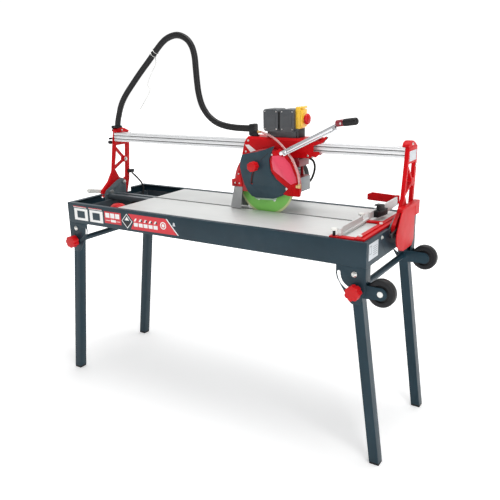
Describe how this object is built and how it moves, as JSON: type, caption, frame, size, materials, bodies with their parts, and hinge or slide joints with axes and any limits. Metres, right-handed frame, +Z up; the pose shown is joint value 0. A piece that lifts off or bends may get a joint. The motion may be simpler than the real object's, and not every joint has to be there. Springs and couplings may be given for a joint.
{
  "type": "wet tile saw",
  "caption": "Bridge wet tile saw on folding legs: a water pan with a table, a tilting bridge, and a sliding cutting head with a guarded blade.",
  "frame": {"origin": "on the floor, under the centre of the bounding box", "axes": "+X along the bridge towards the wheels, +Y to the back, +Z up"},
  "size_m": [1.5458, 0.57, 1.4965],
  "materials": {
    "frame_paint": "satin blue-grey powder coat",
    "leg_paint": "satin dark grey-blue powder coat",
    "red_paint": "glossy red paint on castings",
    "dark_red_paint": "dark red paint",
    "guard_paint": "dark red guard shell, wet and dull",
    "flap_paint": "dark grey plate",
    "aluminium_plate": "mill-finished plate, faint scratches",
    "aluminium_beam": "anodised extrusion",
    "rail_steel": "grey painted steel",
    "tray_plastic": "dark moulded tray",
    "zinc_steel": "zinc-plated fasteners and shaft",
    "chrome_bar": "chromed bar",
    "motor_paint": "grey painted casting",
    "black_plastic": "textured black plastic",
    "grey_plastic": "grey-black moulded box",
    "yellow_plastic": "yellow moulded plastic",
    "red_plastic": "glossy red plastic",
    "white_plastic": "white moulded plastic",
    "black_rubber": "black rubber",
    "grey_rubber": "grey rubber sheet",
    "blade_steel": "green coated steel core, pale rim",
    "clear_tube": "clear pinkish tube"
  },
  "bodies": {
    "frame": {"chassis": "frame_paint", "water_tray": "tray_plastic", "table_plates": "aluminium_plate", "centre_rails": "rail_steel", "leg_gussets": "frame_paint", "tilt_brackets": "rail_steel", "pivot_pins": "zinc_steel", "water_pump": "red_plastic", "fence_rail": "red_paint", "feed_tube": "black_rubber"},
    "bridge": {"column_left": "red_paint", "column_right": "red_paint", "bridge_beam": "aluminium_beam", "end_caps": "red_paint", "pivot_cover": "red_paint", "hose_support": "black_plastic", "conduit": "black_plastic"},
    "carriage": {"carriage_saddle": "red_paint", "conduit_clamp": "black_plastic", "control_box": "grey_plastic", "switch_housing": "yellow_plastic", "rod_bracket": "dark_red_paint"},
    "head": {"guard_body": "guard_paint", "side_cover": "red_paint", "skirt_holder": "red_plastic", "splash_skirt": "grey_rubber", "motor_mount": "dark_red_paint", "motor_housing": "motor_paint", "fan_cover": "black_plastic", "motor_cable": "black_rubber", "handle_bar": "chrome_bar", "handle_grip": "black_rubber", "water_tube": "clear_tube"},
    "blade": {"blade": "blade_steel", "arbor": "zinc_steel"},
    "left_legs": {"left_legs": "leg_paint", "left_feet": "black_rubber"},
    "right_legs": {"right_legs": "leg_paint", "right_feet": "black_rubber"},
    "fence": {"fence_plates": "aluminium_plate"},
    "roller_left": {"roller_left": "white_plastic"},
    "roller_right": {"roller_right": "white_plastic"},
    "switch_flap": {"switch_flap": "yellow_plastic"},
    "stop_button": {"stop_button": "red_plastic"},
    "guard_flap": {"guard_flap": "flap_paint"},
    "depth_knob": {"depth_knob": "red_plastic"},
    "knob_left_front": {"knob_left_front": "red_plastic"},
    "knob_left_back": {"knob_left_back": "red_plastic"},
    "knob_right_front": {"knob_right_front": "red_plastic"},
    "knob_right_back": {"knob_right_back": "red_plastic"},
    "wheel_front": {"wheel_front": "black_rubber"},
    "wheel_back": {"wheel_back": "black_rubber"},
    "fence_stop": {"fence_stop": "black_plastic"},
    "fence_knob_front": {"fence_knob_front": "white_plastic"},
    "fence_knob_mid": {"fence_knob_mid": "white_plastic"},
    "fence_lever": {"fence_lever": "red_paint"},
    "tilt_lever_left": {"tilt_lever_left": "white_plastic"},
    "tilt_lever_right": {"tilt_lever_right": "black_plastic"}
  },
  "joints": [
    {"name": "bridge_tilt", "type": "hinge", "parent": "frame", "child": "bridge", "pos_m": [-0.01406, 0.015, 0.803], "axis": [1, 0, 0], "range_deg": [0, 45], "deforming": ["feed_tube", "splash_skirt"]},
    {"name": "carriage_slide", "type": "slide", "parent": "bridge", "child": "carriage", "axis": [1, 0, 0], "range_m": [-0.66, 0.23], "deforming": ["conduit"]},
    {"name": "roller_left_spin", "type": "hinge", "parent": "carriage", "child": "roller_left", "pos_m": [0.04594, 0.095, 1.0217], "axis": [0, 1, 0], "range_deg": [-1340, 3820]},
    {"name": "roller_right_spin", "type": "hinge", "parent": "carriage", "child": "roller_right", "pos_m": [0.31194, 0.095, 1.0217], "axis": [0, 1, 0], "range_deg": [-1340, 3820]},
    {"name": "switch_flap_open", "type": "hinge", "parent": "carriage", "child": "switch_flap", "pos_m": [0.27094, 0.094, 1.2], "axis": [0, -1, 0], "range_deg": [0, 100]},
    {"name": "stop_button_push", "type": "slide", "parent": "switch_flap", "child": "stop_button", "axis": [-1, 0, 0], "range_m": [0, 0.0035], "stiffness_N_per_m": 800},
    {"name": "head_plunge", "type": "slide", "parent": "carriage", "child": "head", "axis": [0, 0, 1], "range_m": [0, 0.034], "deforming": ["motor_cable", "water_tube"]},
    {"name": "guard_flap_swing", "type": "hinge", "parent": "head", "child": "guard_flap", "pos_m": [0.25794, -0.011, 0.903], "axis": [0, 1, 0], "range_deg": [0, 24]},
    {"name": "depth_knob_turn", "type": "hinge", "parent": "head", "child": "depth_knob", "pos_m": [0.11681, -0.03, 0.98253], "axis": [0, 1, 0], "continuous": true},
    {"name": "blade_spin", "type": "hinge", "parent": "head", "child": "blade", "pos_m": [0.14694, 0.015, 0.912], "axis": [0, 1, 0], "continuous": true},
    {"name": "left_legs_fold", "type": "hinge", "parent": "frame", "child": "left_legs", "pos_m": [-0.66406, 0, 0.693], "axis": [0, -1, 0], "range_deg": [0, 97.5]},
    {"name": "right_legs_fold", "type": "hinge", "parent": "frame", "child": "right_legs", "pos_m": [0.63594, 0, 0.693], "axis": [0, 1, 0], "range_deg": [0, 93.5]},
    {"name": "knob_left_front_turn", "type": "hinge", "parent": "left_legs", "child": "knob_left_front", "pos_m": [-0.67137, -0.266, 0.63748], "axis": [0, -1, 0], "continuous": true},
    {"name": "knob_left_back_turn", "type": "hinge", "parent": "left_legs", "child": "knob_left_back", "pos_m": [-0.67137, 0.266, 0.63748], "axis": [0, 1, 0], "continuous": true},
    {"name": "knob_right_front_turn", "type": "hinge", "parent": "right_legs", "child": "knob_right_front", "pos_m": [0.64325, -0.266, 0.63748], "axis": [0, -1, 0], "continuous": true},
    {"name": "knob_right_back_turn", "type": "hinge", "parent": "right_legs", "child": "knob_right_back", "pos_m": [0.64325, 0.266, 0.63748], "axis": [0, 1, 0], "continuous": true},
    {"name": "wheel_front_spin", "type": "hinge", "parent": "right_legs", "child": "wheel_front", "pos_m": [0.72494, -0.2245, 0.637], "axis": [0, 1, 0], "continuous": true},
    {"name": "wheel_back_spin", "type": "hinge", "parent": "right_legs", "child": "wheel_back", "pos_m": [0.72494, 0.2245, 0.637], "axis": [0, 1, 0], "continuous": true},
    {"name": "fence_slide", "type": "slide", "parent": "frame", "child": "fence", "axis": [1, 0, 0], "range_m": [0, 0.045]},
    {"name": "fence_stop_slide", "type": "slide", "parent": "fence", "child": "fence_stop", "axis": [0.1392, 0.9903, 0], "range_m": [-0.018, 0.05]},
    {"name": "fence_knob_front_turn", "type": "hinge", "parent": "frame", "child": "fence_knob_front", "pos_m": [0.55094, -0.225, 0.82], "axis": [0, 0, 1], "continuous": true},
    {"name": "fence_knob_mid_turn", "type": "hinge", "parent": "frame", "child": "fence_knob_mid", "pos_m": [0.54694, 0.016, 0.82], "axis": [0, 0, 1], "continuous": true},
    {"name": "fence_lever_swing", "type": "hinge", "parent": "fence", "child": "fence_lever", "pos_m": [0.59894, 0.247, 0.846], "axis": [0, 0, -1], "range_deg": [0, 90]},
    {"name": "tilt_lever_left_turn", "type": "hinge", "parent": "bridge", "child": "tilt_lever_left", "pos_m": [-0.72506, 0.015, 0.803], "axis": [1, 0, 0], "range_deg": [0, 60]},
    {"name": "tilt_lever_right_turn", "type": "hinge", "parent": "bridge", "child": "tilt_lever_right", "pos_m": [0.69694, 0.015, 0.803], "axis": [1, 0, 0], "range_deg": [0, 35]}
  ],
  "couplings": [
    {"joint": "roller_left_spin", "follows": "carriage_slide", "rad_per_m": -100},
    {"joint": "roller_right_spin", "follows": "carriage_slide", "rad_per_m": -100}
  ]
}
